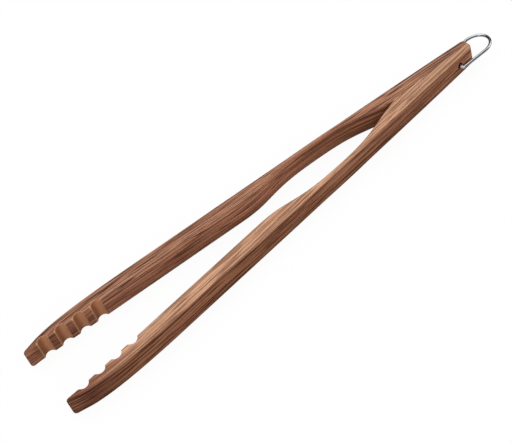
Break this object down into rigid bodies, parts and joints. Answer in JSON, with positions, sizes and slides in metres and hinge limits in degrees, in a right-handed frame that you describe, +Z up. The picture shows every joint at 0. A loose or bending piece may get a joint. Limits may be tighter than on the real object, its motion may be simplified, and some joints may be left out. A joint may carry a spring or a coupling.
{
  "type": "barbecue tongs",
  "caption": "Long sprung wooden tongs with tapered arms glued at the head, thin flexing necks, scalloped jaw faces and a wire hanging loop.",
  "frame": {"origin": "table level, under the middle of the whole length, on the plane between the arms", "axes": "+X along the tongs towards the head and its hanging loop, +Y across the jaws towards the right arm, +Z up from the table"},
  "size_m": [0.4526, 0.0756, 0.0185],
  "materials": {
    "acacia_light": "oiled, planed",
    "acacia_dark": "oiled, planed",
    "polished_steel": "polished"
  },
  "bodies": {
    "head": {"left_head": "acacia_light", "right_head": "acacia_dark"},
    "left_arm": {"left_jaw": "acacia_light"},
    "right_arm": {"right_jaw": "acacia_dark"},
    "loop": {"hanging_loop": "polished_steel"}
  },
  "joints": [
    {"name": "left_arm_flex", "type": "hinge", "parent": "head", "child": "left_arm", "pos_m": [0.0547, -0.01792, 0.00925], "axis": [0, 0, -1], "range_deg": [0, 6.1], "stiffness_Nm_per_rad": 20},
    {"name": "right_arm_flex", "type": "hinge", "parent": "head", "child": "right_arm", "pos_m": [0.0547, 0.01792, 0.00925], "axis": [0, 0, 1], "range_deg": [0, 6.1], "stiffness_Nm_per_rad": 20},
    {"name": "loop_swing", "type": "hinge", "parent": "head", "child": "loop", "pos_m": [0.1875, 0, 0.00885], "axis": [0, 1, 0], "range_deg": [-150, 150]}
  ]
}
